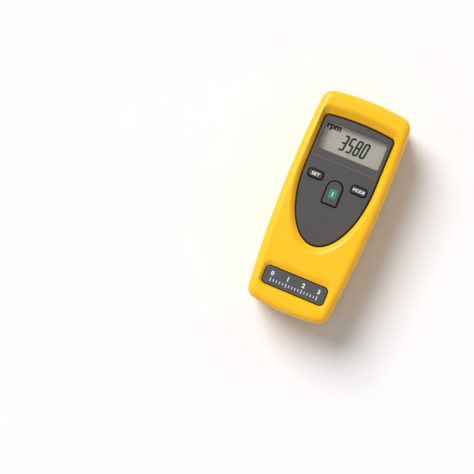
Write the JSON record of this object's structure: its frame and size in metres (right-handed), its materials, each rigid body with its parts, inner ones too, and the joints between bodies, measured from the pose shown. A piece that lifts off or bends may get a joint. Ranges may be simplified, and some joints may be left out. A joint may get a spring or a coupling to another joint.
{
  "type": "laser tachometer",
  "caption": "Handheld laser tachometer: rounded yellow case with a recessed grey display panel, keys, laser window at one end and a sliding battery door.",
  "frame": {"origin": "on the surface that the tachometer lies on, under the middle of its back", "axes": "+Z out of the face, +Y towards the laser end, +X to the right of a reader"},
  "size_m": [0.061, 0.139, 0.041],
  "materials": {
    "case_yellow": "moulded, fine texture, half matt",
    "panel_grey": "moulded, matt",
    "key_dark": "moulded, matt, printed",
    "key_grey": "moulded, matt, printed",
    "clear_window": "clear, polished",
    "lcd": "reflective display glass",
    "black_plastic": "moulded, matt",
    "switch_steel": "pressed sheet",
    "strip_rubber": "layered elastomer",
    "board": "glass laminate with solder mask",
    "capacitor_blue": "shrink sleeve",
    "chip_ceramic": "fired ceramic",
    "brass": "turned",
    "optic_glass": "polished",
    "diode_dark": "cast resin",
    "port_red": "tinted, polished",
    "cell_jacket": "printed jacket, bare ends",
    "contact_steel": "nickel plated",
    "screw_steel": "zinc plated"
  },
  "bodies": {
    "case": {"front_case": "case_yellow", "rear_case": "case_yellow", "face_panel": "panel_grey", "name_plate": "panel_grey", "display_window": "clear_window", "lcd_glass": "lcd", "lcd_frame": "black_plastic", "microcontroller": "black_plastic", "board_header": "black_plastic", "optics_block": "black_plastic", "port_bezel": "black_plastic", "left_switch": "switch_steel", "right_switch": "switch_steel", "power_switch": "switch_steel", "crystal": "switch_steel", "upper_strip": "strip_rubber", "lower_strip": "strip_rubber", "main_board": "board", "sensor_board": "board", "capacitors": "capacitor_blue", "chip_components": "chip_ceramic", "laser_module": "brass", "tripod_bush": "brass", "laser_lens": "optic_glass", "receiver_lens": "optic_glass", "photodiode": "diode_dark", "port_window": "port_red", "left_cell": "cell_jacket", "right_cell": "cell_jacket", "left_spring_contact": "contact_steel", "right_spring_contact": "contact_steel", "left_plate_contact": "contact_steel", "right_plate_contact": "contact_steel", "case_screws": "screw_steel", "board_screws": "screw_steel", "optics_screws": "screw_steel"},
    "left_key": {"left_key": "key_dark", "left_plunger": "black_plastic"},
    "right_key": {"right_key": "key_dark", "right_plunger": "black_plastic"},
    "power_key": {"power_key": "key_grey", "power_plunger": "black_plastic"},
    "battery_door": {"battery_door": "case_yellow"}
  },
  "joints": [
    {"name": "left_key_press", "type": "slide", "parent": "case", "child": "left_key", "axis": [0, 0, -1], "range_m": [0, 0.0008], "stiffness_N_per_m": 1200},
    {"name": "right_key_press", "type": "slide", "parent": "case", "child": "right_key", "axis": [0, 0, -1], "range_m": [0, 0.0008], "stiffness_N_per_m": 1200},
    {"name": "power_key_press", "type": "slide", "parent": "case", "child": "power_key", "axis": [0, 0, -1], "range_m": [0, 0.0008], "stiffness_N_per_m": 1200},
    {"name": "battery_door_slide", "type": "slide", "parent": "case", "child": "battery_door", "axis": [0, -1, 0], "range_m": [0, 0.066]}
  ]
}
